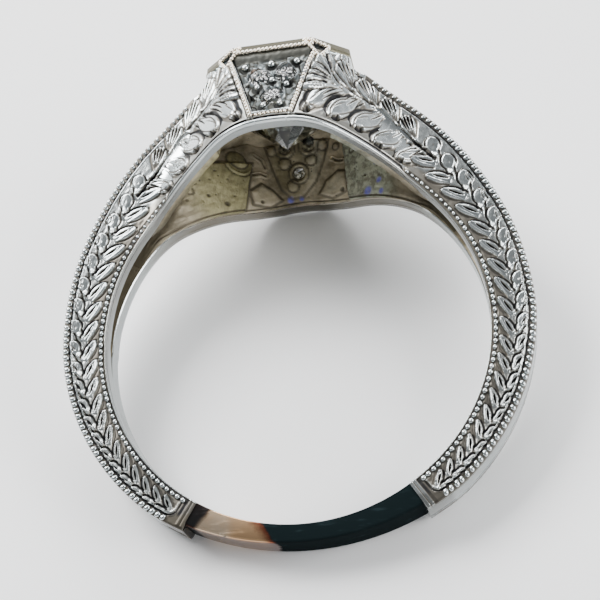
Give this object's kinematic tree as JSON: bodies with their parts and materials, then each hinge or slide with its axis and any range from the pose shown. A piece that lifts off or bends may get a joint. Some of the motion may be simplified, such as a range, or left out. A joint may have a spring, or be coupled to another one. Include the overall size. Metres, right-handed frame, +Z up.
{
  "type": "engraved ring mounting with centre stone",
  "caption": "Engraved white metal ring with an octagonal head, a round stone, stone-set side panels and an open gallery, lying on its side.",
  "frame": {"origin": "centre of the finger hole", "axes": "+Y towards the head, +X to the right seen from above, +Z up; the ring lies on its side, so the finger axis leans back from +Z by the tip angle"},
  "size_m": [0.0212, 0.0232, 0.0092],
  "materials": {
    "white_gold": "hand engraved and polished white gold, as cast inside",
    "diamond": "faceted, clear",
    "small_diamond": "faceted, clear"
  },
  "bodies": {
    "root": {"ring_body": "white_gold", "centre_stone": "diamond", "panel_stone_near_1": "small_diamond", "panel_stone_near_2": "small_diamond", "panel_stone_near_3": "small_diamond", "panel_stone_far_1": "small_diamond", "panel_stone_far_2": "small_diamond", "panel_stone_far_3": "small_diamond"}
  },
  "joints": []
}
